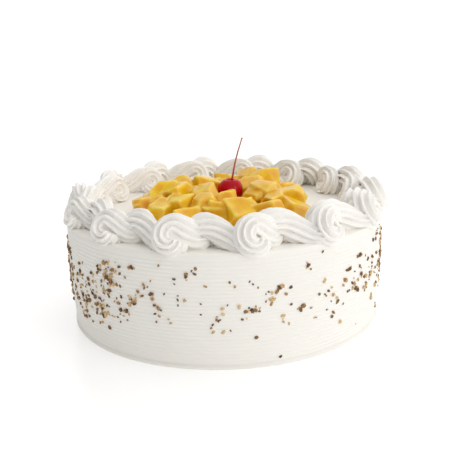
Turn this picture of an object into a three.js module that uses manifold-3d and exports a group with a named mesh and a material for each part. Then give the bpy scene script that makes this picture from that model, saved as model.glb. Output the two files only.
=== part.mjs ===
// A whole peach tres leches cake: a round whipped-cream cake with a combed side, nut crumbs pressed
// into it, a reverse-shell border piped round the top edge, a heap of diced peach in the middle and
// one stemmed cherry. Millimetres, +Z up. The origin is the middle of the flat underside, and -Y is
// the front.
import * as THREE from 'three';
import { mergeVertices } from 'three/addons/utils/BufferGeometryUtils.js';
import Module from 'manifold-3d';

const wasm = await Module();
wasm.setup();

// The coated cake.
const CAKE_HEIGHT = 78;
const BASE_RADIUS = 116.5;
const TOP_RADIUS = 118;
const SIDE_BULGE = 1.3;
const ROUND_SIDES = 26;
const FOOT_FLARE = 1.2;
const FOOT_HEIGHT = 3;
const COMB_PITCH = 2.6;
const COMB_DEPTH = 0.6;
const TOP_BEVEL = 1.2;

// Nut crumbs on the side, the largest ones only.
const CRUMB_SEED = 4021;
const CRUMB_COUNT = 42;
const CRUMB_LONGEST = 4.4;
const CRUMB_SHORTEST = 3.0;
const CRUMB_SPACING = 6.5;
const CRUMB_BELT_MIDDLE = 39;
const CRUMB_BELT_REACH = 28;

// The piped border: outer and inner shells by turns, each lapped by the next.
const SHELL_PAIRS = 14;
const FIRST_SHELL_ANGLE = -132;
const INNER_SHELL_DELAY = 0.29;
const SHELL_SEED = 77;
const SHELL_GAP = 0.5;
const EYE_HEIGHT = 7;
const EYE_TILT = 25;
const EYE_FILL = 0.9;
const EYE_PLUG = { radius: 1.6, width: 0.9 };
const STAR_RIDGES = 4;
const STAR_GROOVE = 0.8;
const CURL_STATIONS = 5;
const TAIL_STATIONS = 3;
const CURL_SHARE = 0.6;
const CURL_START = -10;
const CURL_TURN = 260;
const CURL_REACH = { start: 3.6, growth: 4.4 };
const SWELL_SHARE = 0.6;
const TAIL_FALL = 11.5;
const TAIL_RUN = 0.75;
const ROPE_THICK = { start: 5.8, full: 6.8, tip: 3.8 };
const TAIL_BELLY = 3.2;
const ROPE_WIDE = { start: 7, full: 9.2, tip: 5.2 };
const BORDER_OFFSET = 1.5;
const OUTER_SHELL = { side: 1, eyeRadius: 112, tailLength: 20, tailDrift: -13, size: 1.04 };
const INNER_SHELL = { side: -1, eyeRadius: 97, tailLength: 33, tailDrift: 19, size: 1 };

// The peach heap, the cherry and its stem.
const HEAP_CORE_RADIUS = 47;
const HEAP_BACK_RADIUS = 51;
const HEAP_CORE_HEIGHT = 7;
const DICE_JITTER = 0.3;
const DICE_SEED = 913;
const DICE_SIZE = { length: 17.5, width: 14.5, thickness: 11.5 };
const CHERRY_DIAMETER = 19.5;
const CHERRY_PLACE = { x: 5.5, y: 1.5, lift: 14.2 };
const STEM_LENGTH = 31.5;
const STEM_DIAMETER = 1.5;
const STEM_LEAN = 7.5;
const STEM_BEND = 0.8;
const STEM_KNOB = 1.5;
const STEM_SEAT = 0.78;
const FIT_GAP = 0.3;

const degrees = (value) => (value * Math.PI) / 180;
const UP = new THREE.Vector3(0, 0, 1);

const cream = new THREE.MeshStandardMaterial({ color: '#fbf8f2', roughness: 0.5, metalness: 0 });
const peach = new THREE.MeshStandardMaterial({ color: '#e6a91c', roughness: 0.3, metalness: 0 });
const cherryRed = new THREE.MeshStandardMaterial({ color: '#b80824', roughness: 0.12, metalness: 0 });
const stemRed = new THREE.MeshStandardMaterial({ color: '#b5483f', roughness: 0.45, metalness: 0 });

// A Park-Miller generator: the same seed always gives the same draws, each from 0 to 1.
function drawer(seed) {
  let state = seed;
  return () => {
    state = (state * 16807) % 2147483647;
    return state / 2147483647;
  };
}

// Turn a closed three.js geometry into a solid that can be joined and cut.
function solidOf(geometry) {
  const bare = geometry.clone();
  bare.deleteAttribute('normal');
  bare.deleteAttribute('uv');
  const merged = mergeVertices(bare, 1e-4);
  return new wasm.Manifold(new wasm.Mesh({
    numProp: 3,
    vertProperties: new Float32Array(merged.attributes.position.array),
    triVerts: new Uint32Array(merged.index.array),
  }));
}

// Name a solid and give it its material. A cut can leave loose scraps, so only the largest body is kept.
function meshOf(name, solid, material) {
  const bodies = solid.decompose();
  bodies.sort((first, second) => second.volume() - first.volume());
  const faces = bodies[0].getMesh();
  const geometry = new THREE.BufferGeometry();
  geometry.setAttribute('position', new THREE.BufferAttribute(faces.vertProperties, 3));
  geometry.setIndex(new THREE.BufferAttribute(faces.triVerts, 1));
  geometry.computeVertexNormals();
  const mesh = new THREE.Mesh(geometry, material);
  mesh.name = name;
  return mesh;
}

// Move every vertex of a geometry to where the rule sends it.
function reshape(geometry, rule) {
  const places = geometry.attributes.position;
  const point = new THREE.Vector3();
  for (let index = 0; index < places.count; index += 1) {
    point.fromBufferAttribute(places, index);
    const moved = rule(point);
    places.setXYZ(index, moved.x, moved.y, moved.z);
  }
  return geometry;
}

// A solid of revolution about +Z from a profile of [radius, height] pairs, lowest first.
function revolved(profile, sides) {
  const points = profile.map(([radius, height]) => new THREE.Vector2(radius, height));
  const geometry = new THREE.LatheGeometry(points, sides);
  geometry.rotateX(Math.PI / 2);
  return geometry;
}

function sideRadius(height) {
  const share = height / CAKE_HEIGHT;
  return BASE_RADIUS + (TOP_RADIUS - BASE_RADIUS) * share + SIDE_BULGE * Math.sin(Math.PI * share);
}

// The coat's outline: a small foot, then horizontal ridges from the comb up to a rounded top edge.
function combedProfile() {
  const profile = [[0, 0], [BASE_RADIUS + FOOT_FLARE, 0], [BASE_RADIUS + FOOT_FLARE, FOOT_HEIGHT / 2]];
  const top = CAKE_HEIGHT - TOP_BEVEL;
  const ridges = Math.floor((top - FOOT_HEIGHT) / COMB_PITCH);
  for (let ridge = 0; ridge < ridges; ridge += 1) {
    const groove = FOOT_HEIGHT + ridge * COMB_PITCH;
    const crest = groove + COMB_PITCH / 2;
    profile.push([sideRadius(groove) - COMB_DEPTH, groove]);
    profile.push([sideRadius(crest), crest]);
  }
  profile.push([TOP_RADIUS, top]);
  profile.push([TOP_RADIUS - TOP_BEVEL, CAKE_HEIGHT]);
  profile.push([0, CAKE_HEIGHT]);
  return profile;
}

// How thickly the crumbs lie at an angle: three thick patches round the cake, thin between them.
function crumbDensity(angle) {
  const patch = 0.5 + 0.5 * Math.cos(3 * degrees(angle + 135));
  return 0.3 + 0.7 * patch * patch;
}

// Crumbs from the largest down. One that would fall in a thin place or too near another is skipped.
function crumbPlaces() {
  const draw = drawer(CRUMB_SEED);
  const crumbs = [];
  while (crumbs.length < CRUMB_COUNT) {
    const angle = 360 * draw();
    const height = CRUMB_BELT_MIDDLE + CRUMB_BELT_REACH * (draw() + draw() - 1);
    const keep = draw() < crumbDensity(angle);
    const share = crumbs.length / CRUMB_COUNT;
    const length = CRUMB_LONGEST + (CRUMB_SHORTEST - CRUMB_LONGEST) * share;
    const width = length * (0.5 + 0.35 * draw());
    const roll = 180 * draw();
    const along = degrees(angle) * TOP_RADIUS;
    const clear = crumbs.every((other) => {
      return Math.hypot(other.along - along, other.height - height) > CRUMB_SPACING;
    });
    if (keep && clear) {
      crumbs.push({ angle, height, length, width, roll, along });
    }
  }
  return crumbs;
}

function crumb({ angle, height, length, width, roll }) {
  const geometry = new THREE.OctahedronGeometry(0.5);
  geometry.rotateZ(degrees(20));
  geometry.scale(width, length, width);
  geometry.rotateZ(degrees(roll));
  geometry.rotateX(Math.PI / 2);
  geometry.rotateZ(degrees(angle + 90));
  const reach = sideRadius(height) + 0.1 * width;
  geometry.translate(reach * Math.cos(degrees(angle)), reach * Math.sin(degrees(angle)), height);
  return solidOf(geometry);
}

function cakeBody() {
  let body = solidOf(revolved(combedProfile(), ROUND_SIDES));
  for (const place of crumbPlaces()) {
    body = body.add(crumb(place));
  }
  return meshOf('cake_body', body, cream);
}

// The space under the border, with a gap at the side, to seat the border on the top edge.
function borderSeat() {
  const radius = TOP_RADIUS + FIT_GAP;
  const low = CAKE_HEIGHT / 2;
  return solidOf(revolved([[0, low], [radius, low], [radius, CAKE_HEIGHT], [0, CAKE_HEIGHT]], ROUND_SIDES));
}

function smoothStep(share) {
  const held = Math.max(0, Math.min(share, 1));
  return held * held * (3 - 2 * held);
}

function between({ start, full, tip }, swell, tail) {
  return start + (full - start) * swell + (tip - full) * tail;
}

// The rope of cream in one shell, at a share of its length from 0 at the eye to 1 at the tail's tip.
// It winds once round the eye, from below over the crest, and then runs forward and down to the cake.
// lean is the way out from the eye, inner and outer its thickness on that way to either side.
function ropeAt(share, shell) {
  const curl = Math.min(share / CURL_SHARE, 1);
  const tail = Math.max((share - CURL_SHARE) / (1 - CURL_SHARE), 0);
  const turn = degrees(CURL_START - CURL_TURN * curl);
  const reach = CURL_REACH.start + CURL_REACH.growth * curl ** 0.7;
  const swell = smoothStep(curl / SWELL_SHARE);
  const run = Math.min(tail / TAIL_RUN, 1);
  const slope = (6 * run * (1 - run) * TAIL_FALL) / (TAIL_RUN * shell.tailLength);
  const thick = between(ROPE_THICK, swell, tail) + TAIL_BELLY * Math.sin(Math.PI * tail);
  return {
    forward: reach * Math.cos(turn) + shell.tailLength * tail,
    rise: reach * Math.sin(turn) - TAIL_FALL * smoothStep(run),
    drift: shell.tailDrift * smoothStep(tail),
    lean: tail === 0 ? { forward: Math.cos(turn), rise: Math.sin(turn) } : { forward: slope, rise: 1 },
    inner: tail === 0 ? Math.min(thick, EYE_FILL * reach) : thick,
    outer: thick,
    wide: between(ROPE_WIDE, swell, tail),
  };
}

// The eye of a shell and the ways from it, some way forward round the cake: ahead, out of the side
// that the curl shows, and up its plane.
function shellFrame(shell, forward, drift) {
  const tilt = degrees(EYE_TILT);
  const radius = shell.eyeRadius + drift;
  const angle = degrees(shell.angle) + forward / radius;
  const radial = new THREE.Vector3(Math.cos(angle), Math.sin(angle), 0);
  const ahead = UP.clone().cross(radial);
  const facing = radial.clone().multiplyScalar(shell.side * Math.cos(tilt));
  facing.addScaledVector(UP, Math.sin(tilt));
  const rising = facing.clone().cross(ahead).multiplyScalar(shell.side);
  const eye = new THREE.Vector3(BORDER_OFFSET, 0, CAKE_HEIGHT + shell.size * EYE_HEIGHT);
  return { ahead, facing, rising, eye: eye.addScaledVector(radial, radius) };
}

// A short length of a shell's rope between two shares of it, closed and with a star section. A gap above
// 0 gives the plain rope that holds it with that gap.
function ropeLength(shell, gap, from, to) {
  const size = shell.size;
  const geometry = new THREE.CylinderGeometry(1, 1, 1, 2 * STAR_RIDGES, 1);
  return solidOf(reshape(geometry, (point) => {
    const share = point.y > 0 ? from : to;
    const rope = ropeAt(share, shell);
    const { ahead, facing, rising, eye } = shellFrame(shell, rope.forward, rope.drift);
    const away = ahead.clone().multiplyScalar(rope.lean.forward);
    away.addScaledVector(rising, rope.lean.rise).normalize();
    const along = away.clone().cross(facing).multiplyScalar(shell.side);

    const around = Math.atan2(point.z, point.x);
    const inGroove = Math.round((around / Math.PI) * STAR_RIDGES) % 2 !== 0;
    const star = Math.hypot(point.x, point.z) * (inGroove && gap === 0 ? STAR_GROOVE : 1);
    const thick = size * (Math.cos(around) > 0 ? rope.outer : rope.inner) + gap;
    const wide = size * rope.wide + gap;
    const pastEnd = share === 0 ? -gap : share === 1 ? gap : 0;

    const place = eye.addScaledVector(rising, size * rope.rise);
    place.addScaledVector(along, pastEnd);
    place.addScaledVector(away, star * Math.cos(around) * thick);
    place.addScaledVector(facing, shell.side * star * Math.sin(around) * wide);
    return place;
  }));
}

// A short rod through the middle of the eye.
function eyePlug(shell, gap) {
  const geometry = new THREE.CylinderGeometry(1, 1, 2, 6, 1);
  const { ahead, facing, rising, eye } = shellFrame(shell, 0, 0);
  const radius = EYE_PLUG.radius * shell.size;
  const width = EYE_PLUG.width * ROPE_WIDE.start * shell.size + gap;
  return solidOf(reshape(geometry, (point) => {
    const place = eye.clone().addScaledVector(facing, shell.side * point.y * width);
    place.addScaledVector(ahead, point.z * radius);
    return place.addScaledVector(rising, point.x * radius);
  }));
}

// One shell at its angle round the cake. Its rope passes over its own start, so it is joined from
// short lengths. With a gap its eye is filled too, so that nothing of the shell it laps is left there.
function shellSolid(shell, gap) {
  const shares = [];
  for (let station = 0; station <= CURL_STATIONS; station += 1) {
    shares.push((CURL_SHARE * station) / CURL_STATIONS);
  }
  for (let station = 1; station < TAIL_STATIONS; station += 1) {
    shares.push(CURL_SHARE + ((1 - CURL_SHARE) * station) / TAIL_STATIONS);
  }
  shares.push(1);
  const lengths = shares.slice(1).map((to, index) => ropeLength(shell, gap, shares[index], to));
  if (gap > 0) {
    lengths.push(eyePlug(shell, gap));
  }
  return lengths.reduce((joined, length) => joined.add(length));
}

// Angles and small differences of the shells in piping order, outer and inner by turns.
function shellPlaces() {
  const draw = drawer(SHELL_SEED);
  const shells = [];
  const step = 360 / SHELL_PAIRS;
  for (let pair = 0; pair < SHELL_PAIRS; pair += 1) {
    for (const kind of [OUTER_SHELL, INNER_SHELL]) {
      const delay = kind.side < 0 ? INNER_SHELL_DELAY : 0;
      const angle = FIRST_SHELL_ANGLE + (pair + delay) * step + 2 * (draw() - 0.5);
      const size = kind.size * (0.96 + 0.08 * draw());
      shells.push({ ...kind, angle, size });
    }
  }
  return shells;
}

function border() {
  const shells = shellPlaces();
  const seat = borderSeat();
  return shells.map((shell, index) => {
    const lapping = shellSolid(shells[(index + 1) % shells.length], SHELL_GAP);
    const piped = shellSolid(shell, 0).subtract(seat).subtract(lapping);
    const name = `shell_${String(index + 1).padStart(2, '0')}`;
    return meshOf(name, piped, cream);
  });
}

// Where the diced pieces lie: [x, y, lift of the middle above the cake, size, turn, lean].
// The front half is set piece by piece, as it lies, and the back is a plain ring of pieces.
function dicePlaces() {
  const front = [
    [-58, -12, 7.5, 0.95, 20, 8], [-45, -32, 6.5, 1, 65, -6], [-47, -4, 13, 1, 15, 38],
    [-33, -28, 10, 0.95, -30, 14], [-34, -6, 14.5, 0.95, 50, -12], [-30, 18, 14, 1, -15, 10],
    [-14, 14, 15, 1, 35, -8], [-11, -14, 13.5, 1, -40, 12], [-26, -47, 7, 1.05, 25, -16],
    [-14, -36, 13, 0.95, 70, 10], [-2, -45, 7, 1, -10, -8], [-12, -56, 4.5, 0.6, 40, 0],
    [12, -49, 9, 1.15, 30, 20], [30, -47, 8, 1.1, -25, -10], [19, 8, 12.5, 1, 10, 14],
    [19, 41, 15.5, 0.95, -50, 6], [31, 30, 16.5, 1.05, 25, -10], [28, -10, 15, 1, -35, 12],
    [37, -24, 11, 1, 55, -14], [49, -10, 9, 1.1, 0, 8], [50, -36, 6.5, 1.05, -40, -12],
    [3, 38, 14, 0.9, 15, -6],
  ];
  const places = front.map(([x, y, lift, size, turn, lean]) => ({ x, y, lift, size, turn, lean }));
  for (let angle = 0; angle <= 180; angle += 30) {
    const x = HEAP_BACK_RADIUS * Math.cos(degrees(angle));
    const y = HEAP_BACK_RADIUS * Math.sin(degrees(angle));
    places.push({ x, y, lift: 5.5, size: 1, turn: angle + 20, lean: 10 });
  }
  return places;
}

// One diced piece: a block with its corners moved a little, so that no face is square.
function dicedPiece({ x, y, lift, size, turn, lean }, draw) {
  const geometry = new THREE.BoxGeometry(1, 1, 1);
  const corners = new Map();
  reshape(geometry, (point) => {
    const key = [point.x, point.y, point.z].join();
    if (!corners.has(key)) {
      const jitter = new THREE.Vector3(draw() - 0.5, draw() - 0.5, draw() - 0.5);
      jitter.multiplyScalar(DICE_JITTER);
      corners.set(key, jitter.add(point));
    }
    return corners.get(key).clone();
  });
  geometry.scale(size * DICE_SIZE.length, size * DICE_SIZE.width, size * DICE_SIZE.thickness);
  geometry.rotateX(degrees(lean));
  geometry.rotateZ(degrees(turn));
  geometry.translate(x, y, CAKE_HEIGHT + lift);
  return solidOf(geometry);
}

function cherryCentre() {
  return new THREE.Vector3(CHERRY_PLACE.x, CHERRY_PLACE.y, CAKE_HEIGHT + CHERRY_PLACE.lift);
}

// The cherry: a ball, a little squat, with a dimple where the stem goes in. grow swells it.
function cherrySolid(grow) {
  const radius = CHERRY_DIAMETER / 2 + grow;
  const geometry = new THREE.SphereGeometry(1, 12, 8);
  geometry.rotateX(Math.PI / 2);
  const centre = cherryCentre();
  return solidOf(reshape(geometry, (point) => {
    const dimple = 0.2 * Math.max(point.z - 0.9, 0) * 10;
    const squat = 0.95 * (point.z - dimple);
    return new THREE.Vector3(point.x, point.y, squat).multiplyScalar(radius).add(centre);
  }));
}

// The heap: a low core with the diced pieces fused on, cut flat where it rests on the cream and
// hollowed where the cherry sits.
function peachHeap() {
  const core = revolved([
    [0, CAKE_HEIGHT - 1],
    [HEAP_CORE_RADIUS, CAKE_HEIGHT - 1],
    [0.85 * HEAP_CORE_RADIUS, CAKE_HEIGHT + 0.7 * HEAP_CORE_HEIGHT],
    [0, CAKE_HEIGHT + HEAP_CORE_HEIGHT],
  ], 12);
  let heap = solidOf(core);
  const draw = drawer(DICE_SEED);
  for (const place of dicePlaces()) {
    heap = heap.add(dicedPiece(place, draw));
  }
  heap = heap.trimByPlane([0, 0, 1], CAKE_HEIGHT).subtract(cherrySolid(FIT_GAP));
  return meshOf('peach_heap', heap, peach);
}

// The stem: a thin bent stalk that stands in the dimple and leans to the right, knobbed at its tip.
function cherryStem() {
  const foot = cherryCentre().add(new THREE.Vector3(0, 0, STEM_SEAT * (CHERRY_DIAMETER / 2) + FIT_GAP));
  const geometry = new THREE.CylinderGeometry(1, 1, 1, 6, 5);
  const solid = solidOf(reshape(geometry, (point) => {
    const share = point.y + 0.5;
    const knob = share > 0.99 ? STEM_KNOB : 1;
    const radius = (STEM_DIAMETER / 2) * knob;
    const sway = STEM_LEAN * share - STEM_BEND * Math.sin(Math.PI * share);
    const middle = foot.clone().add(new THREE.Vector3(sway, 0, STEM_LENGTH * share));
    return middle.add(new THREE.Vector3(point.x * radius, -point.z * radius, 0));
  }));
  return meshOf('cherry_stem', solid, stemRed);
}

const group = new THREE.Group();
group.add(cakeBody());
for (const shell of border()) {
  group.add(shell);
}
group.add(peachHeap());
group.add(meshOf('cherry', cherrySolid(0), cherryRed));
group.add(cherryStem());
export default group;
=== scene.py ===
"""A whole peach tres leches cake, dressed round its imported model. Metres, +Z up, -Y is the front."""
import math

import bmesh
import bpy
from mathutils import Matrix, Vector, kdtree, noise


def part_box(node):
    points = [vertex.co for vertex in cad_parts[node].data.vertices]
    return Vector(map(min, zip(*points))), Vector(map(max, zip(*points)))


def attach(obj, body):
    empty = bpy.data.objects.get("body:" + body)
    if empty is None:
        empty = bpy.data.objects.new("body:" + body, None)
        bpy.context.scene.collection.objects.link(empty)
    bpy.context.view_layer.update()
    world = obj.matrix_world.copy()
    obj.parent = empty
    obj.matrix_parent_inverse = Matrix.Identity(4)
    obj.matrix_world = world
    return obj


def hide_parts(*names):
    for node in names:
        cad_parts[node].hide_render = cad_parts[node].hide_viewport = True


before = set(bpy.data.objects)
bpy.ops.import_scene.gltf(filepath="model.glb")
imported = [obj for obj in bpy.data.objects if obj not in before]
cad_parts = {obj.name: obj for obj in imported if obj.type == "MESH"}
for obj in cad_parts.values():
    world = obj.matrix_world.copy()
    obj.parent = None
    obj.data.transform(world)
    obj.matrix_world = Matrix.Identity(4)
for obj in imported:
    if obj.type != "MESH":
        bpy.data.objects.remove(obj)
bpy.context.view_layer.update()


# The coated cake: soaked sponge under a few millimetres of whipped cream, made smooth on top with
# a palette knife and combed round the side while the cake turned on its stand. The comb's teeth
# leave level ridges, and the knife leaves a low foot of cream where the side meets the plate.
MM = 0.001
CAKE_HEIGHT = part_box("cake_body")[1].z
BASE_RADIUS = 116.5 * MM
TOP_RADIUS = 118 * MM
SIDE_BULGE = 1.3 * MM
FOOT_FLARE = 1.0 * MM
FOOT_HEIGHT = 3 * MM
FOOT_PROFILE = ((0.4, 0), (1, 0.25), (1, 0.6))
COMB_PITCH = 2.6 * MM
COMB_DEPTH = 0.32 * MM
COMB_POINTS = 6
COMB_SHARPNESS = 0.7
EDGE_ROUND = 1.6 * MM
EDGE_POINTS = 5
COAT_STEPS = 240
COAT_WELD = 0.01 * MM
TOP_RINGS = 26
SIDE_WAVES = ((0.35 * MM, 40 * MM), (0.10 * MM, 7 * MM))
RIDGE_WAVES = ((0.22 * MM, 24 * MM),)
KNIFE_RADIUS = 0.9 * TOP_RADIUS
KNIFE_WAVES = ((0.5 * MM, 34 * MM),)
KNIFE_SINK = 0.2 * MM


def side_radius(height):
    """The side's radius at a height: a little wider at the top than at the base, and slightly bulged."""
    share = height / CAKE_HEIGHT
    return BASE_RADIUS + (TOP_RADIUS - BASE_RADIUS) * share + SIDE_BULGE * math.sin(math.pi * share)


def coat_outline():
    """The coat's half section from the middle of the base, up the combed side, to the middle of the top."""
    outline = [(0, 0), (BASE_RADIUS / 2, 0)]
    for flare, rise in FOOT_PROFILE:
        outline.append((BASE_RADIUS + flare * FOOT_FLARE, rise * FOOT_HEIGHT))
    side_top = CAKE_HEIGHT - EDGE_ROUND
    ridges = math.floor((side_top - FOOT_HEIGHT) / COMB_PITCH)
    for point in range(ridges * COMB_POINTS):
        turn = point / COMB_POINTS
        height = FOOT_HEIGHT + turn * COMB_PITCH
        groove = 1 - abs(math.sin(math.pi * turn)) ** COMB_SHARPNESS
        outline.append((side_radius(height) - COMB_DEPTH * groove, height))
    for point in range(EDGE_POINTS):
        turn = math.pi / 2 * point / (EDGE_POINTS - 1)
        reach = TOP_RADIUS - EDGE_ROUND + EDGE_ROUND * math.cos(turn)
        outline.append((reach, side_top + EDGE_ROUND * math.sin(turn)))
    for ring in range(TOP_RINGS - 1, -1, -1):
        outline.append(((TOP_RADIUS - EDGE_ROUND) * ring / TOP_RINGS, CAKE_HEIGHT))
    return outline


def add_piece(name, shape):
    """Turn a bmesh into a smooth-shaded object of its own, with its place in its mesh."""
    mesh = bpy.data.meshes.new(name)
    shape.to_mesh(mesh)
    shape.free()
    mesh.shade_smooth()
    piece = bpy.data.objects.new(name, mesh)
    bpy.context.scene.collection.objects.link(piece)
    return piece


def unevenness(place, waves):
    """Smooth, random bumps: each wave is a height, up or down, and the distance between its bumps."""
    return sum(height * noise.noise(place / size) for height, size in waves)


def spin_round(shape, geometry, steps, weld):
    """Turn a half section once round the cake's axis, join the points that are closer than the weld, which
    closes the poles, and point all faces outwards."""
    bmesh.ops.spin(
        shape, geom=geometry, axis=(0, 0, 1), cent=(0, 0, 0), angle=math.tau, steps=steps, use_merge=True,
    )
    bmesh.ops.remove_doubles(shape, verts=shape.verts, dist=weld)
    bmesh.ops.recalc_face_normals(shape, faces=shape.faces)


coat_shape = bmesh.new()
section = [coat_shape.verts.new((radius, 0, height)) for radius, height in coat_outline()]
section_edges = [coat_shape.edges.new(pair) for pair in zip(section, section[1:])]
spin_round(coat_shape, section + section_edges, COAT_STEPS, COAT_WELD)
for vert in coat_shape.verts:
    place = vert.co.copy()
    if place.z > 0 and math.hypot(place.x, place.y) > KNIFE_RADIUS:
        outward = Vector((place.x, place.y, 0)).normalized()
        vert.co += outward * unevenness(place, SIDE_WAVES)
        vert.co.z += min(place.z / FOOT_HEIGHT, 1) * unevenness(place + Vector((1, 1, 1)), RIDGE_WAVES)
    elif place.z > 0:
        vert.co.z += unevenness(place, KNIFE_WAVES) - KNIFE_SINK
coat = add_piece("cream_coat", coat_shape)


def linear(hex_colour):
    """An sRGB hex colour as the linear RGBA that a shader takes."""
    channels = [int(hex_colour[place:place + 2], 16) / 255 for place in (1, 3, 5)]
    curved = [value / 12.92 if value <= 0.04045 else ((value + 0.055) / 1.055) ** 2.4 for value in channels]
    return (*curved, 1)


def add_node(tree, kind, settings=None, **links):
    """Add a node, set its own settings and its sockets' values, and link the sockets that get an output.
    Sockets that share a name are told apart by their numbers."""
    node = tree.nodes.new(kind)
    for name, value in (settings or {}).items():
        if isinstance(name, str) and hasattr(node, name):
            setattr(node, name, value)
        else:
            node.inputs[name].default_value = value
    for name, output in links.items():
        tree.links.new(output, node.inputs[name.replace("_", " ")])
    return node


def new_material(name):
    """A material with an empty node tree and its output node."""
    material = bpy.data.materials.new(name)
    material.use_nodes = True
    tree = material.node_tree
    tree.nodes.clear()
    return material, tree, tree.nodes.new("ShaderNodeOutputMaterial")


def whipped_cream(name, warm, cool, bubble):
    """Whipped cream, whisked and spread: a fine foam of fat and air. Light soaks in a few millimetres, so
    that its shadows are soft and a little warm, and its skin is satin with pits from burst bubbles. The
    pits are drawn larger than most real ones, so that they show."""
    material, tree, output = new_material(name)
    place = add_node(tree, "ShaderNodeTexCoord").outputs["Object"]
    cloud = add_node(tree, "ShaderNodeTexNoise", {"Scale": 1 / (45 * MM), "Detail": 3.0}, Vector=place)
    tint = add_node(tree, "ShaderNodeMix", {"data_type": "RGBA", 6: linear(cool), 7: linear(warm)})
    tree.links.new(cloud.outputs["Fac"], tint.inputs[0])
    foam = add_node(tree, "ShaderNodeTexNoise", {"Scale": 1 / bubble, "Detail": 4.0}, Vector=place)
    pits = add_node(
        tree, "ShaderNodeBump", {"Strength": 0.25, "Distance": 0.12 * MM}, Height=foam.outputs["Fac"],
    )
    cream = add_node(
        tree, "ShaderNodeBsdfPrincipled",
        {"Roughness": 0.48, "IOR": 1.45, "Subsurface Weight": 0.18, "Subsurface Radius": (1.0, 0.92, 0.85),
         "Subsurface Scale": 2 * MM, "Specular IOR Level": 0.35},
        Base_Color=tint.outputs[2], Normal=pits.outputs["Normal"],
    )
    tree.links.new(cream.outputs["BSDF"], output.inputs["Surface"])
    return material


coat.data.materials.append(whipped_cream("whipped_cream_coat", "#fdf9f2", "#f8f4ec", 0.9 * MM))
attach(coat, "root")
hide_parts("cake_body")


# Chopped nuts, toasted tan to dark brown, thrown at the side by hand so that they lie in patches, and
# pressed into the cream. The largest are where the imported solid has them, and the rest follow.
CRUMB_SEED = 4021
LARGE_CRUMBS = 42
CRUMB_LONGEST = 4.4 * MM
CRUMB_SHORTEST = 3.0 * MM
CRUMB_WIDTH = (0.5, 0.35)
CRUMB_SPACING = 6.5 * MM
CRUMB_BELT_MIDDLE = 39 * MM
CRUMB_BELT_REACH = 28 * MM
PATCHES = 3
PATCH_ANGLE = -135
BARE_SHARE = 0.3
SMALL_LONGEST = 3.9 * MM
SMALL_SHORTEST = 1.7 * MM
SMALL_BIAS = 1.5
SMALL_WIDTH = (0.5, 0.4)
SMALL_LOWEST = 2 * MM
SMALL_HIGHEST = CAKE_HEIGHT - 3 * MM
STRAY_CRUMBS = (0, 38, 180, 34, 150)
HANDFUL_REACH = 1.3
CLUSTER_SHARE = 0.45
CLUSTER_REACH = 4.5 * MM
CHIP_ROUGH = (0.78, 0.5)
CHIP_DEPTH = 0.75
CHIP_OUT = 0.1
NUT_TONE = 0.66
NUT_SPECK = 0.9


def drawer(seed):
    """The Park-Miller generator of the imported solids: the same seed always gives the same draws, 0 to 1."""
    state = seed
    while True:
        state = state * 16807 % 2147483647
        yield state / 2147483647


def drawn(draw, least, span):
    """A value by the next draw: its least, and how much a full draw adds."""
    return least + span * next(draw)


def either_way(draw):
    """Two draws as one number from -1 to 1 that is most often near 0."""
    return next(draw) + next(draw) - 1


def crumb_density(angle):
    """The share of the large crumbs that sticks at an angle: three patches, one at the left front."""
    patch = 0.5 + 0.5 * math.cos(PATCHES * math.radians(angle - PATCH_ANGLE))
    return BARE_SHARE + (1 - BARE_SHARE) * patch * patch


def one_crumb(draw, angle, height, length, widths):
    """A crumb at its place: the next two draws give its width, as a share of its length, and its roll."""
    width = length * drawn(draw, *widths)
    return {"angle": angle, "height": height, "length": length, "width": width, "roll": 180 * next(draw)}


def handfuls():
    """The handfuls of small crumbs: angle and height of the middle, half spreads of both, and how many."""
    front = [
        (-168, 42, 9, 24, 84), (-148, 40, 8, 23, 66), (-131, 55, 9, 14, 66), (-135, 34, 10, 16, 44),
        (-114, 46, 8, 12, 26), (-97, 50, 11, 20, 17), (-84, 46, 7, 12, 22), (-69, 53, 10, 9, 18),
        (-54, 33, 8, 13, 18), (-42, 47, 7, 14, 26), (-32, 44, 6, 20, 34), (-18, 50, 10, 27, 108),
    ]
    back = [(20 + 25 * turn, 44 - 10 * (turn % 2), 11, 17, 34 + 18 * (turn % 3)) for turn in range(7)]
    return front + back + [STRAY_CRUMBS]


def large_crumbs(draw):
    """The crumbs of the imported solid, from the same draws: each keeps its distance from those before it."""
    crumbs = []
    while len(crumbs) < LARGE_CRUMBS:
        angle = 360 * next(draw)
        height = CRUMB_BELT_MIDDLE + CRUMB_BELT_REACH * either_way(draw)
        keep = next(draw) < crumb_density(angle)
        length = CRUMB_LONGEST + (CRUMB_SHORTEST - CRUMB_LONGEST) * len(crumbs) / LARGE_CRUMBS
        crumb = one_crumb(draw, angle, height, length, CRUMB_WIDTH)
        for other in crumbs:
            along = math.radians(angle) * TOP_RADIUS - math.radians(other["angle"]) * TOP_RADIUS
            if math.hypot(along, other["height"] - height) <= CRUMB_SPACING:
                keep = False
        if keep:
            crumbs.append(crumb)
    return crumbs


def small_crumbs(draw):
    """The crumbs of each handful: some lie next to the one before, in little heaps, the rest anywhere."""
    crumbs = []
    for middle, belt, spread, reach, count in handfuls():
        angle = middle
        height = belt * MM
        for _ in range(count):
            if next(draw) < CLUSTER_SHARE:
                angle += math.degrees(CLUSTER_REACH / TOP_RADIUS) * either_way(draw)
                height += CLUSTER_REACH * either_way(draw)
            else:
                angle = middle + HANDFUL_REACH * spread * either_way(draw)
                height = (belt + HANDFUL_REACH * reach * either_way(draw)) * MM
            length = SMALL_SHORTEST + (SMALL_LONGEST - SMALL_SHORTEST) * next(draw) ** SMALL_BIAS
            crumb = one_crumb(draw, angle, height, length, SMALL_WIDTH)
            if SMALL_LOWEST < height < SMALL_HIGHEST:
                crumbs.append(crumb)
    return crumbs


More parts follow.
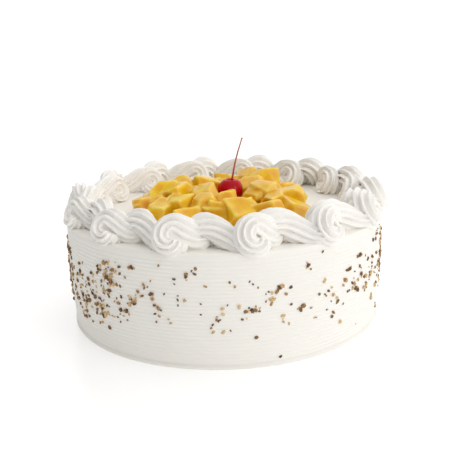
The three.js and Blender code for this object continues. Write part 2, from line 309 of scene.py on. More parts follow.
crumb_shape = bmesh.new()
crumb_tone = crumb_shape.verts.layers.float.new("tone")
crumb_draw = drawer(CRUMB_SEED)
chip_draw = drawer(CRUMB_SEED + 1)
for crumb in large_crumbs(crumb_draw) + small_crumbs(crumb_draw):
    turn = math.radians(crumb["angle"])
    reach = side_radius(crumb["height"]) + CHIP_OUT * crumb["width"]
    lay = Matrix.Translation((reach * math.cos(turn), reach * math.sin(turn), crumb["height"]))
    lay = lay @ Matrix.Rotation(turn + math.pi / 2, 4, "Z") @ Matrix.Rotation(math.pi / 2, 4, "X")
    lay = lay @ Matrix.Rotation(math.radians(crumb["roll"]), 4, "Z")
    size = Matrix.Diagonal((crumb["width"], crumb["length"], CHIP_DEPTH * crumb["width"], 1))
    chip = bmesh.ops.create_icosphere(crumb_shape, subdivisions=1, radius=0.5)
    tone = next(chip_draw)
    for vert in chip["verts"]:
        vert[crumb_tone] = tone
        vert.co *= drawn(chip_draw, *CHIP_ROUGH)
        vert.co = lay @ size @ vert.co
crumbs = add_piece("nut_crumbs", crumb_shape)
crumbs.data.shade_flat()


def toasted_nut(name):
    """Toasted nut, chopped: dry, dull flesh, pale where it broke and brown where the skin is still on."""
    material, tree, output = new_material(name)
    place = add_node(tree, "ShaderNodeTexCoord").outputs["Object"]
    tone = add_node(tree, "ShaderNodeAttribute", {"attribute_name": "tone"})
    paleness = add_node(tree, "ShaderNodeMath", {"operation": "MULTIPLY", 1: NUT_TONE})
    tree.links.new(tone.outputs["Fac"], paleness.inputs[0])
    speck = add_node(tree, "ShaderNodeTexNoise", {"Scale": 1 / (1.1 * MM), "Detail": 2.0}, Vector=place)
    mixed = add_node(tree, "ShaderNodeMath", {"operation": "MULTIPLY_ADD", 1: NUT_SPECK})
    tree.links.new(speck.outputs["Fac"], mixed.inputs[0])
    tree.links.new(paleness.outputs[0], mixed.inputs[2])
    colours = add_node(tree, "ShaderNodeValToRGB", Fac=mixed.outputs[0])
    ramp = colours.color_ramp
    ramp.elements[0].color = linear("#48301e")
    ramp.elements[0].position = 0.3
    ramp.elements[1].color = linear("#dcc08e")
    ramp.elements[1].position = 1.0
    for position, shade in ((0.5, "#644629"), (0.68, "#86623f"), (0.84, "#b18a5a")):
        ramp.elements.new(position).color = linear(shade)
    nut = add_node(
        tree, "ShaderNodeBsdfPrincipled", {"Roughness": 0.7, "IOR": 1.47},
        Base_Color=colours.outputs["Color"],
    )
    tree.links.new(nut.outputs["BSDF"], output.inputs["Surface"])
    return material


crumbs.data.materials.append(toasted_nut("toasted_chopped_nut"))
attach(crumbs, "root")


# The border: whipped cream piped through a star tube in reverse shells, outer and inner by turns. The
# tube goes once round the eye of each shell and is then drawn forward and down as a tail, and the next
# shell laps that tail. Each shell is one rope whose ridges are the tube's teeth.
SHELL_PAIRS = 14
FIRST_SHELL_ANGLE = -132
INNER_SHELL_DELAY = 0.29
SHELL_SEED = 77
SHELL_SWAY = 2
SHELL_SIZES = (0.96, 0.08)
SHELL_TWISTS = (0.6, 1.2)
BORDER_OFFSET = 1.5 * MM
EYE_HEIGHT = 7 * MM
EYE_TILT = math.radians(25)
CURL_SHARE = 0.6
CURL_START = -10
CURL_TURN = 260
CURL_EASE = 0.7
CURL_REACH = {"start": 3.6 * MM, "growth": 4.4 * MM}
SWELL_SHARE = 0.6
TAIL_FALL = 11.5 * MM
TAIL_RUN = 0.75
ROPE_THICK = {"start": 5.8 * MM, "full": 6.8 * MM, "tip": 3.8 * MM}
TAIL_BELLY = 3.2 * MM
ROPE_WIDE = {"start": 7 * MM, "full": 9.2 * MM, "tip": 5.2 * MM}
OUTER_SHELL = {
    "side": 1, "eye_radius": 112 * MM, "tail_length": 20 * MM, "tail_drift": -13 * MM, "size": 1.04,
}
INNER_SHELL = {
    "side": -1, "eye_radius": 97 * MM, "tail_length": 33 * MM, "tail_drift": 19 * MM, "size": 1.0,
}
TUBE_TEETH = 10
TOOTH_REACH = 1.05
TOOTH_DEPTH = 0.62
TOOTH_SHARPNESS = 0.9
UNDERSIDE_SMOOTH = 0.7
ROUND_START = 0.04
ROUND_TIP = 0.1
TIP_BLUNT = 0.3
ROPE_SIDES = 128
ROPE_STATIONS = 120
CREAM_GRAIN = 0.5 * MM
CREAM_WAVES = ((0.4 * MM, 8 * MM), (0.14 * MM, 2.4 * MM))


def smooth_step(share):
    """A share from 0 to 1 that starts and ends gently."""
    share = max(0, min(share, 1))
    return share * share * (3 - 2 * share)


def between(sizes, swell, tail):
    """The rope's half size: it swells from its start to its full size, and then shrinks to its tip's."""
    return sizes["start"] + (sizes["full"] - sizes["start"]) * swell + (sizes["tip"] - sizes["full"]) * tail


def rope_at(share, shell):
    """The rope of cream at a share of its length, 0 at the eye and 1 at the tail's tip: its middle, the way
    out from the eye, and its half thickness and half width. It winds once round the eye and over the crest,
    and then runs forward and down to the cake."""
    curl = min(share / CURL_SHARE, 1)
    tail = max((share - CURL_SHARE) / (1 - CURL_SHARE), 0)
    turn = math.radians(CURL_START - CURL_TURN * curl)
    reach = CURL_REACH["start"] + CURL_REACH["growth"] * curl ** CURL_EASE
    swell = smooth_step(curl / SWELL_SHARE)
    run = min(tail / TAIL_RUN, 1)
    # The slope of smooth_step is 6 * run * (1 - run).
    slope = 6 * run * (1 - run) * TAIL_FALL / (TAIL_RUN * shell["tail_length"])
    return {
        "forward": reach * math.cos(turn) + shell["tail_length"] * tail,
        "rise": reach * math.sin(turn) - TAIL_FALL * smooth_step(run),
        "drift": shell["tail_drift"] * smooth_step(tail),
        "lean": Vector((math.cos(turn), math.sin(turn))) if tail == 0 else Vector((slope, 1)),
        "thick": between(ROPE_THICK, swell, tail) + TAIL_BELLY * math.sin(math.pi * tail),
        "wide": between(ROPE_WIDE, swell, tail),
    }


def rope_surface(shell, share, around, reach):
    """The place of a point of the rope: how far along it is, which way round the section, how far out."""
    rope = rope_at(share, shell)
    side = shell["side"]
    size = shell["size"]
    radius = shell["eye_radius"] + rope["drift"]
    angle = math.radians(shell["angle"]) + rope["forward"] / radius
    radial = Vector((math.cos(angle), math.sin(angle), 0))
    up = Vector((0, 0, 1))
    forward = up.cross(radial)
    facing = radial * (side * math.cos(EYE_TILT)) + up * math.sin(EYE_TILT)
    rising = facing.cross(forward) * side
    away = (forward * rope["lean"].x + rising * rope["lean"].y).normalized()

    tooth = abs(math.cos(TUBE_TEETH / 2 * (around + shell["twist"] * share)))
    underside = 1 - UNDERSIDE_SMOOTH * max(0, -math.cos(around))
    groove = TOOTH_DEPTH * (1 - tooth) ** TOOTH_SHARPNESS * underside
    rounded_start = math.sqrt(1 - (1 - min(share / ROUND_START, 1)) ** 2)
    rounded_tip = math.sqrt(1 - min(max((share - (1 - ROUND_TIP)) / ROUND_TIP, 0), 1) ** 2)
    star = reach * (TOOTH_REACH - groove) * rounded_start * (TIP_BLUNT + (1 - TIP_BLUNT) * rounded_tip)
    place = Vector((BORDER_OFFSET, 0, CAKE_HEIGHT + size * EYE_HEIGHT)) + radial * radius
    place += rising * (size * rope["rise"])
    place += away * (size * star * math.cos(around) * rope["thick"])
    place += facing * (side * size * star * math.sin(around) * rope["wide"])
    return place


def straight_rod(sides, stations):
    """A rod of length 1 and radius 1, cut across at even stations, to be bent into shape."""
    rod = bmesh.new()
    bmesh.ops.create_cone(rod, cap_ends=True, segments=sides, radius1=1, radius2=1, depth=1)
    long_edges = [edge for edge in rod.edges if abs(edge.verts[0].co.z - edge.verts[1].co.z) > 0.5]
    bmesh.ops.subdivide_edges(rod, edges=long_edges, cuts=stations - 1, use_grid_fill=True)
    return rod


def one_skin(piece, grain):
    """Remake a piece that runs through itself as one closed skin, and open that skin to be worked on."""
    remesh = piece.modifiers.new("one skin", "REMESH")
    remesh.mode = "VOXEL"
    remesh.voxel_size = grain
    bpy.context.view_layer.update()
    result = piece.evaluated_get(bpy.context.evaluated_depsgraph_get())
    mesh = bpy.data.meshes.new_from_object(result)
    piece.modifiers.clear()
    piece.data = mesh
    skin = bmesh.new()
    skin.from_mesh(mesh)
    return skin


def close_skin(piece, skin):
    """Put a worked skin back into its piece."""
    skin.to_mesh(piece.data)
    skin.free()
    piece.data.shade_smooth()


def piped_shell(name, shell):
    """One shell: a straight rod, bent and grooved into the rope, joined where it laps, and roughened."""
    rope = straight_rod(ROPE_SIDES, ROPE_STATIONS)
    for vert in rope.verts:
        around = math.atan2(vert.co.y, vert.co.x)
        vert.co = rope_surface(shell, 0.5 - vert.co.z, around, math.hypot(vert.co.x, vert.co.y))
    bmesh.ops.recalc_face_normals(rope, faces=rope.faces)
    piece = add_piece(name, rope)
    skin = one_skin(piece, CREAM_GRAIN)
    for vert in skin.verts:
        vert.co += vert.normal * unevenness(vert.co, CREAM_WAVES)
    close_skin(piece, skin)
    return piece


def shell_places():
    """Angles and small differences of the shells in piping order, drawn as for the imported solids."""
    draw = drawer(SHELL_SEED)
    twist_draw = drawer(SHELL_SEED + 1)
    shells = []
    for pair in range(SHELL_PAIRS):
        for kind in (OUTER_SHELL, INNER_SHELL):
            delay = INNER_SHELL_DELAY if kind["side"] < 0 else 0
            angle = FIRST_SHELL_ANGLE + (pair + delay) * 360 / SHELL_PAIRS + SHELL_SWAY * (next(draw) - 0.5)
            size = kind["size"] * drawn(draw, *SHELL_SIZES)
            twist = drawn(twist_draw, *SHELL_TWISTS)
            shells.append({**kind, "angle": angle, "size": size, "twist": twist})
    return shells


# The piped cream is a touch whiter than the spread coat. This is painted light, which lifts the shade among
# the back shells.
piped_cream = whipped_cream("whipped_cream_piped", "#fefbf6", "#faf7f1", 0.7 * MM)
for number, shell in enumerate(shell_places(), start=1):
    curl = piped_shell(f"cream_shell_{number:02d}", shell)
    curl.data.materials.append(piped_cream)
    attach(curl, "root")
    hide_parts(f"shell_{number:02d}")


# The peaches: tinned halves cut by hand into dice, drained and heaped on the cream. Each has flat cut faces
# with soft edges and a few slanting cuts, and about one in six shows the rosy side that lay against the
# stone. The wet pieces stick together, so the heap has one skin.
CHERRY_SQUAT = 0.95
cherry_low, cherry_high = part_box("cherry")
CHERRY_RADIUS = (cherry_high.x - cherry_low.x) / 2
CHERRY_CENTRE = (cherry_low + cherry_high) / 2
CHERRY_CENTRE.z = cherry_low.z + CHERRY_SQUAT * CHERRY_RADIUS
HEAP_CORE_RADIUS = 47 * MM
HEAP_CORE_HEIGHT = 7 * MM
HEAP_CORE_FOOT = 1.02
HEAP_CORE_PROFILE = ((0.97, 0.25), (0.85, 0.7), (0.6, 0.9), (0.3, 1), (0, 1))
HEAP_CORE_SUNK = 1 * MM
HEAP_CORE_STEPS = 72
HEAP_WELD = 0.005 * MM
DICE_SEED = 913
DICE_JITTER = 0.3
DICE_SIZE = Vector((17.5, 14.5, 11.5)) * MM
DICE_ROUND = 1.1 * MM
DICE_CUTS = 12
DICE_SWELL = 1.16
DICE_TIP = 16
FRUIT_BULGE = 0.09
STONE_BULGE = 0.04
BULGE_POWER = 4
KNIFE_CUTS = 4
KNIFE_SLANTS = (0.25, 0.75)
KNIFE_DEPTHS = (0.52, 0.26)
KNIFE_SOFT = 0.45 * MM
FLESH_WAVES = ((0.45 * MM, 8 * MM), (0.12 * MM, 2.5 * MM))
FLESH_GRAIN = 0.77 * MM
SKIN_SMOOTHINGS = 2
EDGE_BEND = 2.4 * MM
RIM_SPREADS = 4
RIM_FADE = 0.9
PIT_SHARE = 0.18
PIT_FROM = 0.225
PIT_FADE = 0.25
CORNER_ORDER = (
    (1, 1, 1), (1, 1, -1), (1, -1, 1), (1, -1, -1), (-1, 1, -1), (-1, 1, 1), (-1, -1, -1), (-1, -1, 1),
)
# The pieces are placed in plain millimetres and degrees, and so are the lengths and angles below.
HEAP_BACK_RADIUS = 51
HEAP_INSIDE_RADIUS = 36
CHERRY_CLEAR = 20
FILLING_PIECES = 16
FILLING_REACH = 46
FILLING_LIFT = 12.5
FILLING_DROP = 4.5
FILLING_SIZE = 0.8
FILLING_TURN = 137.5
FILLING_LEAN = 12


def on_circle(radius, angle):
    """Where an angle in degrees is on a circle round the cake's axis."""
    return radius * math.cos(math.radians(angle)), radius * math.sin(math.radians(angle))


def dice_places():
    """Where the dice lie, in millimetres and degrees: x, y, lift of the middle, size, turn and lean. The
    front half is set piece by piece, as it lies, and the back is a plain ring with a few pieces inside."""
    front = [
        (-58, -12, 7.5, 0.95, 20, 8), (-45, -32, 6.5, 1, 65, -6), (-47, -4, 13, 1, 15, 38),
        (-33, -28, 10, 0.95, -30, 14), (-34, -6, 14.5, 0.95, 50, -12), (-30, 18, 14, 1, -15, 10),
        (-14, 14, 15, 1, 35, -8), (-15, -13, 12.5, 1, -40, 12), (-26, -47, 7, 1.05, 25, -16),
        (-14, -36, 13, 0.95, 70, 10), (-2, -45, 7, 1, -10, -8), (-12, -56, 4.5, 0.6, 40, 0),
        (12, -49, 9, 1.15, 30, 20), (30, -47, 8, 1.1, -25, -10), (19, 8, 12.5, 1, 10, 14),
        (19, 41, 15.5, 0.95, -50, 6), (31, 30, 16.5, 1.05, 25, -10), (28, -10, 15, 1, -35, 12),
        (37, -24, 11, 1, 55, -14), (49, -10, 9, 1.1, 0, 8), (50, -36, 6.5, 1.05, -40, -12),
        (3, 38, 14, 0.9, 15, -6),
    ]
    ring = [(*on_circle(HEAP_BACK_RADIUS, angle), 5.5, 1, angle + 20, 10) for angle in range(0, 181, 30)]
    inside = [
        (*on_circle(HEAP_INSIDE_RADIUS, angle), 9.5, 0.92, 2 * angle, -12) for angle in range(15, 181, 33)
    ]
    return front + ring + inside


def filling_places():
    """Smaller pieces that fill the gaps, on a spiral that stays clear of the cherry."""
    filling = []
    for number in range(FILLING_PIECES):
        reach = FILLING_REACH * math.sqrt((number + 0.5) / FILLING_PIECES)
        angle = number * FILLING_TURN
        x, y = on_circle(reach, angle)
        lift = FILLING_LIFT - FILLING_DROP * (reach / FILLING_REACH) ** 2
        if math.hypot(x - CHERRY_CENTRE.x / MM, y - CHERRY_CENTRE.y / MM) > CHERRY_CLEAR:
            filling.append((x, y, lift, FILLING_SIZE, 2 * angle, FILLING_LEAN))
    return filling


def knife_cuts(half, draw):
    """The slanting cuts that take corners off a piece: each a direction, and how far out its face is."""
    cuts = []
    for _ in range(KNIFE_CUTS):
        slants = []
        for _ in range(3):
            way = 1 if next(draw) > 0.5 else -1
            slants.append(way * drawn(draw, *KNIFE_SLANTS))
        out = Vector(slants).normalized()
        reach = sum(abs(out[axis]) * half[axis] for axis in range(3))
        cuts.append((out, reach * drawn(draw, *KNIFE_DEPTHS)))
    return cuts


def cut_flesh(cube_place, half, corners, cuts):
    """Move a point of a unit cube onto a piece of peach: rounded edges, uneven corners, bulged ends and
    knife cuts. It gives the place, the way out from the cube and how far along the piece the point is."""
    inner = half - Vector((1, 1, 1)) * DICE_ROUND
    box_place = Vector([2 * cube_place[axis] * half[axis] for axis in range(3)])
    held = Vector([max(-inner[axis], min(inner[axis], box_place[axis])) for axis in range(3)])
    out = (box_place - held).normalized()
    rounded = held + out * DICE_ROUND
    share = [rounded[axis] / (2 * half[axis]) for axis in range(3)]
    place = Vector((0, 0, 0))
    for signs, corner in corners.items():
        place += corner * math.prod(0.5 + signs[axis] * share[axis] for axis in range(3))
    middle = max(0, 1 - 4 * share[1] ** 2) * max(0, 1 - 4 * share[2] ** 2)
    place.x += (FRUIT_BULGE if share[0] > 0 else STONE_BULGE) * middle * abs(2 * share[0]) ** BULGE_POWER
    place = Vector([place[axis] * 2 * half[axis] for axis in range(3)])
    for knife, flat in cuts:
        over = place.dot(knife) - flat
        place -= knife * (over + math.hypot(over, KNIFE_SOFT)) / 2
    return place, out, share[0]


def mark_rims(verts, painted_rim_glow):
    """Mark how sharply a piece bends outwards at each point, and let that fade over the points round it. This
    is the mask of the painted glow at the rims.
    """
    for vert in verts:
        bends = []
        for edge in vert.link_edges:
            other = edge.other_vert(vert)
            step = other.co - vert.co
            bends.append((other.normal - vert.normal).dot(step) / max(step.length_squared, 1e-12))
        vert[painted_rim_glow] = max(0, min(EDGE_BEND * sum(bends) / len(bends), 1))
    for _ in range(RIM_SPREADS):
        spread = []
        for vert in verts:
            around = [edge.other_vert(vert)[painted_rim_glow] for edge in vert.link_edges]
            spread.append(max(vert[painted_rim_glow], RIM_FADE * sum(around) / len(around)))
        for vert, rim in zip(verts, spread):
            vert[painted_rim_glow] = rim


heap_shape = bmesh.new()
flesh_tone = heap_shape.verts.layers.float.new("tone")
# A mask for the painted glow of light through the thin rims of each piece.
painted_rim_glow = heap_shape.verts.layers.float.new("edge")
flesh_pit = heap_shape.verts.layers.float.new("pit")
flesh_piece = heap_shape.verts.layers.int.new("piece")
lays = [Matrix()]
dice_draw = drawer(DICE_SEED)
tone_draw = drawer(DICE_SEED + 1)
knife_draw = drawer(DICE_SEED + 2)
for x, y, lift, size, turn, lean in dice_places() + filling_places():
    corners = {}
    for signs in CORNER_ORDER:
        jitter = Vector((next(dice_draw) - 0.5, next(dice_draw) - 0.5, next(dice_draw) - 0.5)) * DICE_JITTER
        corners[signs] = Vector(signs) / 2 + jitter
    tone = next(tone_draw)
    pit_side = 1 if next(tone_draw) < PIT_SHARE else 0
    tip = DICE_TIP * (2 * next(knife_draw) - 1)
    roll = DICE_TIP * (2 * next(knife_draw) - 1)
    lay = Matrix.Translation(Vector((x, y, 0)) * MM + Vector((0, 0, CAKE_HEIGHT + lift * MM)))
    lay = lay @ Matrix.Rotation(math.radians(turn), 4, "Z")
    lay = lay @ Matrix.Rotation(math.radians(lean + tip), 4, "X")
    lay = lay @ Matrix.Rotation(math.radians(roll), 4, "Y")
    lays.append(lay)
    half = DICE_SIZE * (size * DICE_SWELL / 2)
    cuts = knife_cuts(half, knife_draw)

    start = len(heap_shape.verts)
    block = bmesh.ops.create_cube(heap_shape, size=1)
    block_edges = {edge for vert in block["verts"] for edge in vert.link_edges}
    bmesh.ops.subdivide_edges(heap_shape, edges=list(block_edges), cuts=DICE_CUTS, use_grid_fill=True)
    heap_shape.verts.ensure_lookup_table()
    piece_verts = heap_shape.verts[start:]
    for vert in piece_verts:
        place, out, along = cut_flesh(vert.co, half, corners, cuts)
        place += out * unevenness(place + Vector((x, y, lift)) * MM, FLESH_WAVES)
        vert[flesh_tone] = tone
        vert[flesh_pit] = pit_side * smooth_step((along - PIT_FROM) / PIT_FADE)
        vert[flesh_piece] = len(lays) - 1
        vert.co = lay @ place
    heap_shape.normal_update()
    mark_rims(piece_verts, painted_rim_glow)

core_outline = [(HEAP_CORE_FOOT * HEAP_CORE_RADIUS, -HEAP_CORE_SUNK)]
core_outline += [(reach * HEAP_CORE_RADIUS, rise * HEAP_CORE_HEIGHT) for reach, rise in HEAP_CORE_PROFILE]
core_outline.append((0, -HEAP_CORE_SUNK))
core = [heap_shape.verts.new((radius, 0, CAKE_HEIGHT + rise)) for radius, rise in core_outline]
core_edges = [heap_shape.edges.new(pair) for pair in zip(core, core[1:] + core[:1])]
spin_round(heap_shape, core + core_edges, HEAP_CORE_STEPS, HEAP_WELD)

marks = []
nearest = kdtree.KDTree(len(heap_shape.verts))
for vert in heap_shape.verts:
    nearest.insert(vert.co, len(marks))
    marks.append((vert[flesh_tone], vert[painted_rim_glow], vert[flesh_pit], vert[flesh_piece]))
nearest.balance()
heap = add_piece("peach_dice", heap_shape)
skin = one_skin(heap, FLESH_GRAIN)
flesh_tone = skin.verts.layers.float.new("tone")
# The new skin carries the mask of the painted rim glow too.
painted_rim_glow = skin.verts.layers.float.new("edge")
flesh_pit = skin.verts.layers.float.new("pit")
flesh_grain = skin.verts.layers.float_vector.new("grain")
unlays = [lay.inverted() for lay in lays]
for vert in skin.verts:
    tone, rim, pit, piece = marks[nearest.find(vert.co)[1]]
    vert[flesh_tone] = tone
    vert[painted_rim_glow] = rim
    vert[flesh_pit] = pit
    vert[flesh_grain] = unlays[piece] @ vert.co + Vector((tone, 2 * tone, 3 * tone))
for _ in range(SKIN_SMOOTHINGS):
    bmesh.ops.smooth_vert(
        skin, verts=skin.verts, factor=0.5, use_axis_x=True, use_axis_y=True, use_axis_z=True,
    )
    # The mask of the painted rim glow spreads with each smoothing, so that the glow fades inwards.
    spread = [sum(edge.other_vert(vert)[painted_rim_glow] for edge in vert.link_edges) for vert in skin.verts]
    for vert, rim in zip(skin.verts, spread):
        vert[painted_rim_glow] = (vert[painted_rim_glow] + rim / len(vert.link_edges)) / 2
close_skin(heap, skin)


def syrup_peach(name):
    """Tinned peach, cut and drained: firm, half-clear flesh, so that light goes in and comes out gold. Its
    rims are painted paler, a painted glow of light through the thin flesh. Threads a millimetre apart run
    through it, the side at the stone is rosy, and a film of syrup makes it shine."""
    material, tree, output = new_material(name)
    tone = add_node(tree, "ShaderNodeAttribute", {"attribute_name": "tone"})
    edge = add_node(tree, "ShaderNodeAttribute", {"attribute_name": "edge"})
    pit = add_node(tree, "ShaderNodeAttribute", {"attribute_name": "pit"})
    grain = add_node(tree, "ShaderNodeAttribute", {"attribute_name": "grain"}).outputs["Vector"]
    body = add_node(tree, "ShaderNodeValToRGB", Fac=tone.outputs["Fac"])
    body.color_ramp.elements[0].color = linear("#e6ad00")
    body.color_ramp.elements[1].color = linear("#f0cb08")
    body.color_ramp.elements.new(0.5).color = linear("#ebbd00")
    cloud = add_node(tree, "ShaderNodeTexNoise", {"Scale": 1 / (7 * MM), "Detail": 4.0}, Vector=grain)
    patches = add_node(
        tree, "ShaderNodeMapRange", {"From Min": 0.38, "From Max": 0.62}, Value=cloud.outputs["Fac"],
    )
    deeper = add_node(
        tree, "ShaderNodeMix", {"data_type": "RGBA", "blend_type": "MULTIPLY", 7: linear("#f8e090")},
    )
    tree.links.new(patches.outputs["Result"], deeper.inputs[0])
    tree.links.new(body.outputs["Color"], deeper.inputs[6])
    rosy = add_node(tree, "ShaderNodeMix", {"data_type": "RGBA", 7: linear("#ebba50")})
    tree.links.new(pit.outputs["Fac"], rosy.inputs[0])
    tree.links.new(deeper.outputs[2], rosy.inputs[6])
    # Painted light: the rims are mixed towards pale yellow, a painted glow where light shines through the
    # thin flesh.
    painted_rim_glow_mix = add_node(tree, "ShaderNodeMix", {"data_type": "RGBA", 7: linear("#fbdf70")})
    tree.links.new(edge.outputs["Fac"], painted_rim_glow_mix.inputs[0])
    tree.links.new(rosy.outputs[2], painted_rim_glow_mix.inputs[6])
    stretched = add_node(
        tree, "ShaderNodeMapping", {"Scale": (1 / (9 * MM), 1 / (1 * MM), 1 / (1 * MM))}, Vector=grain,
    )
    threads = add_node(
        tree, "ShaderNodeTexNoise", {"Scale": 1.0, "Detail": 3.0}, Vector=stretched.outputs["Vector"],
    )
    relief = add_node(
        tree, "ShaderNodeBump", {"Strength": 0.35, "Distance": 0.2 * MM}, Height=threads.outputs["Fac"],
    )
    flesh = add_node(
        tree, "ShaderNodeBsdfPrincipled",
        {"Roughness": 0.3, "IOR": 1.37, "Subsurface Weight": 0.9, "Subsurface Radius": (1.0, 0.6, 0.15),
         "Subsurface Scale": 5 * MM, "Specular IOR Level": 0.12, "Coat Weight": 0.4,
         "Coat Roughness": 0.06},
        Base_Color=painted_rim_glow_mix.outputs[2], Normal=relief.outputs["Normal"],
    )
    tree.links.new(flesh.outputs["BSDF"], output.inputs["Surface"])
    return material


heap.data.materials.append(syrup_peach("syrup_peach_flesh"))
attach(heap, "root")
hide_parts("peach_heap")


# The cherry: one bright red preserved cherry, set in the peaches with its stem on. Its skin is a little
# uneven from the syrup, and a dimple takes the stem.
DIMPLE_DEPTH = 0.34
DIMPLE_REACH = 0.06
DIMPLE_POWER = 1.2
CHERRY_SEGMENTS = 72
CHERRY_RINGS = 48
CHERRY_WAVES = ((0.22 * MM, 7 * MM), (0.05 * MM, 2 * MM))
cherry_shape = bmesh.new()
bmesh.ops.create_uvsphere(
    cherry_shape, u_segments=CHERRY_SEGMENTS, v_segments=CHERRY_RINGS, radius=1,
)
for vert in cherry_shape.verts:
    dimple = DIMPLE_DEPTH * math.exp(-((1 - vert.co.z) / DIMPLE_REACH) ** DIMPLE_POWER)
    place = Vector((vert.co.x, vert.co.y, CHERRY_SQUAT * (vert.co.z - dimple))) * CHERRY_RADIUS
    vert.co = CHERRY_CENTRE + place + place.normalized() * unevenness(place, CHERRY_WAVES)
cherry = add_piece("preserved_cherry", cherry_shape)


def cherry_skin(name):
    """Preserved cherry: a thin, tight, dyed skin over clear red flesh, wet with syrup, so that it shines
    like glass and its red is deep."""
    material, tree, output = new_material(name)
    place = add_node(tree, "ShaderNodeTexCoord").outputs["Object"]
    cloud = add_node(tree, "ShaderNodeTexNoise", {"Scale": 1 / (5 * MM), "Detail": 3.0}, Vector=place)
    tint = add_node(
        tree, "ShaderNodeMix", {"data_type": "RGBA", 6: linear("#a4000e"), 7: linear("#cc061c")},
    )
    tree.links.new(cloud.outputs["Fac"], tint.inputs[0])
    peel = add_node(
        tree, "ShaderNodeBsdfPrincipled",
        {"Roughness": 0.14, "IOR": 1.4, "Specular IOR Level": 0.05, "Subsurface Weight": 0.25,
         "Subsurface Radius": (1.0, 0.12, 0.08), "Subsurface Scale": 3 * MM, "Coat Weight": 0.3,
         "Coat Roughness": 0.05},
        Base_Color=tint.outputs[2],
    )
    tree.links.new(peel.outputs["BSDF"], output.inputs["Surface"])
    return material


cherry.data.materials.append(cherry_skin("preserved_cherry_skin"))
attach(cherry, "root")
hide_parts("cherry")


# The cherry's stem: a thin, dry stalk, red from the syrup and paler at the tip, which stands in the dimple
# and leans a little to the right. It thins upwards and ends in the small knob where it left the twig.
stem_low, stem_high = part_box("cherry_stem")
STEM_LENGTH = stem_high.z - stem_low.z
STEM_RADIUS = 0.75 * MM
STEM_TAPER = 0.38
STEM_KNOB = 0.35
KNOB_LENGTH = 0.03
STEM_ROUGH = ((0.12, 1.5 * MM),)
STEM_LEAN = 8.5 * MM
STEM_BEND = 0.8 * MM
STEM_SUNK = 0.9 * MM
STEM_SHIFT = 1.2 * MM
STEM_FOOT = Vector((CHERRY_CENTRE.x + STEM_SHIFT, CHERRY_CENTRE.y, stem_low.z))
STEM_SIDES = 20
STEM_STATIONS = 48
stem_shape = straight_rod(STEM_SIDES, STEM_STATIONS)
for vert in stem_shape.verts:
    share = vert.co.z + 0.5
    knob = STEM_KNOB * math.exp(-((1 - share) / KNOB_LENGTH) ** 2)
    radius = STEM_RADIUS * (1 - STEM_TAPER * share + knob)
    sway = STEM_LEAN * share - STEM_BEND * math.sin(math.pi * share)
    middle = STEM_FOOT + Vector((sway, 0, STEM_LENGTH * share - (1 - share) * STEM_SUNK))
    radius *= 1 + unevenness(middle + vert.co * MM, STEM_ROUGH)
    vert.co = middle + Vector((vert.co.x, vert.co.y, 0)) * radius
stem = add_piece("cherry_stalk", stem_shape)


def dyed_stalk(name):
    """Cherry stalk from the same syrup: a tough thread of plant fibre, dyed red and drier at its tip. The
    fibres are drawn coarser than they are, so that they show."""
    material, tree, output = new_material(name)
    place = add_node(tree, "ShaderNodeTexCoord").outputs["Object"]
    height = add_node(tree, "ShaderNodeSeparateXYZ", Vector=place)
    share = add_node(
        tree, "ShaderNodeMapRange", {"From Min": stem_low.z, "From Max": stem_high.z},
        Value=height.outputs["Z"],
    )
    colours = add_node(tree, "ShaderNodeValToRGB", Fac=share.outputs["Result"])
    colours.color_ramp.elements[0].color = linear("#b02c34")
    colours.color_ramp.elements[1].color = linear("#c98566")
    fibres = add_node(tree, "ShaderNodeTexNoise", {"Scale": 1 / (0.5 * MM), "Detail": 2.0}, Vector=place)
    relief = add_node(
        tree, "ShaderNodeBump", {"Strength": 0.4, "Distance": 0.1 * MM}, Height=fibres.outputs["Fac"],
    )
    stalk = add_node(
        tree, "ShaderNodeBsdfPrincipled", {"Roughness": 0.45, "IOR": 1.45},
        Base_Color=colours.outputs["Color"], Normal=relief.outputs["Normal"],
    )
    tree.links.new(stalk.outputs["BSDF"], output.inputs["Surface"])
    return material


stem.data.materials.append(dyed_stalk("dyed_cherry_stalk"))
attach(stem, "root")
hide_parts("cherry_stem")


# The setting: a white table that glows a little from below, in a white room that is bright behind, above
# and at the right and dims towards the left front. One soft lamp at the right front gives the modelling.
FLOOR_SIZE = 60
floor_shape = bmesh.new()
bmesh.ops.create_grid(floor_shape, x_segments=1, y_segments=1, size=FLOOR_SIZE / 2)
floor = add_piece("white_table", floor_shape)


def white_acrylic(name):
    """White acrylic sheet, lit from below: bright and half-glossy, so it gives a faint mirror image."""
    material, tree, output = new_material(name)
    sheet = add_node(
        tree, "ShaderNodeBsdfPrincipled",
        {"Base Color": linear("#f4f4f4"), "Roughness": 0.22, "IOR": 1.49, "Emission Color": (1, 1, 1, 1),
         "Emission Strength": 0.24},
    )
    tree.links.new(sheet.outputs["BSDF"], output.inputs["Surface"])
    return material


floor.data.materials.append(white_acrylic("white_acrylic_sheet"))

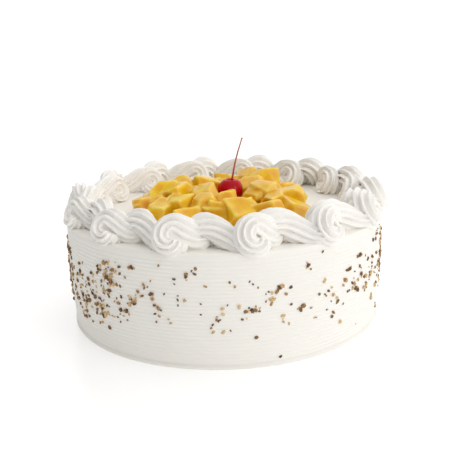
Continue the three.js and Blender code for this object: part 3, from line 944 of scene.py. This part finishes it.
BRIGHT_SIDE = (0.86, 0.46, 0.2)
world = bpy.data.worlds.new("studio")
world.use_nodes = True
room = world.node_tree
toward = add_node(room, "ShaderNodeTexCoord")
brightness = add_node(room, "ShaderNodeVectorMath", {"operation": "DOT_PRODUCT", 1: BRIGHT_SIDE})
room.links.new(toward.outputs["Generated"], brightness.inputs[0])
shade = add_node(
    room, "ShaderNodeMapRange", {"From Min": -0.82, "From Max": -0.05, "To Min": 0.1, "To Max": 1.04},
    Value=brightness.outputs["Value"],
)
room.links.new(shade.outputs["Result"], room.nodes["Background"].inputs["Strength"])
room.nodes["Background"].inputs["Color"].default_value = (1, 1, 1, 1)
bpy.context.scene.world = world

LAMP_PLACE = Vector((0.95, -0.9, 0.7))
LAMP_AIM = Vector((0, 0, 0.06))
lamp = bpy.data.lights.new("key_from_the_right", "AREA")
lamp.shape = "DISK"
lamp.size = 0.6
lamp.energy = 2.2
key_light = bpy.data.objects.new("key_from_the_right", lamp)
key_light.location = LAMP_PLACE
key_light.rotation_euler = (LAMP_AIM - LAMP_PLACE).to_track_quat("-Z", "Y").to_euler()
bpy.context.scene.collection.objects.link(key_light)

CAMERA_PLACE = Vector((0, -0.5317, 0.2087))
CAMERA_AIM = Vector((0.0095, 0, 0.0546))
CAMERA_ROLL = math.radians(-1.42)
SENSOR_WIDTH = 36
FOCAL_PIXELS = 711.3
PICTURE_PIXELS = 474
lens = bpy.data.cameras.new("photo_view")
lens.sensor_width = SENSOR_WIDTH
lens.lens = SENSOR_WIDTH * FOCAL_PIXELS / PICTURE_PIXELS
lens.clip_start = 0.01
camera = bpy.data.objects.new("photo_view", lens)
look = (CAMERA_AIM - CAMERA_PLACE).to_track_quat("-Z", "Y").to_matrix()
turned = look @ Matrix.Rotation(CAMERA_ROLL, 3, "Z")
camera.matrix_world = Matrix.Translation(CAMERA_PLACE) @ turned.to_4x4()
bpy.context.scene.collection.objects.link(camera)
bpy.context.scene.camera = camera
bpy.context.scene.view_settings.view_transform = "Standard"
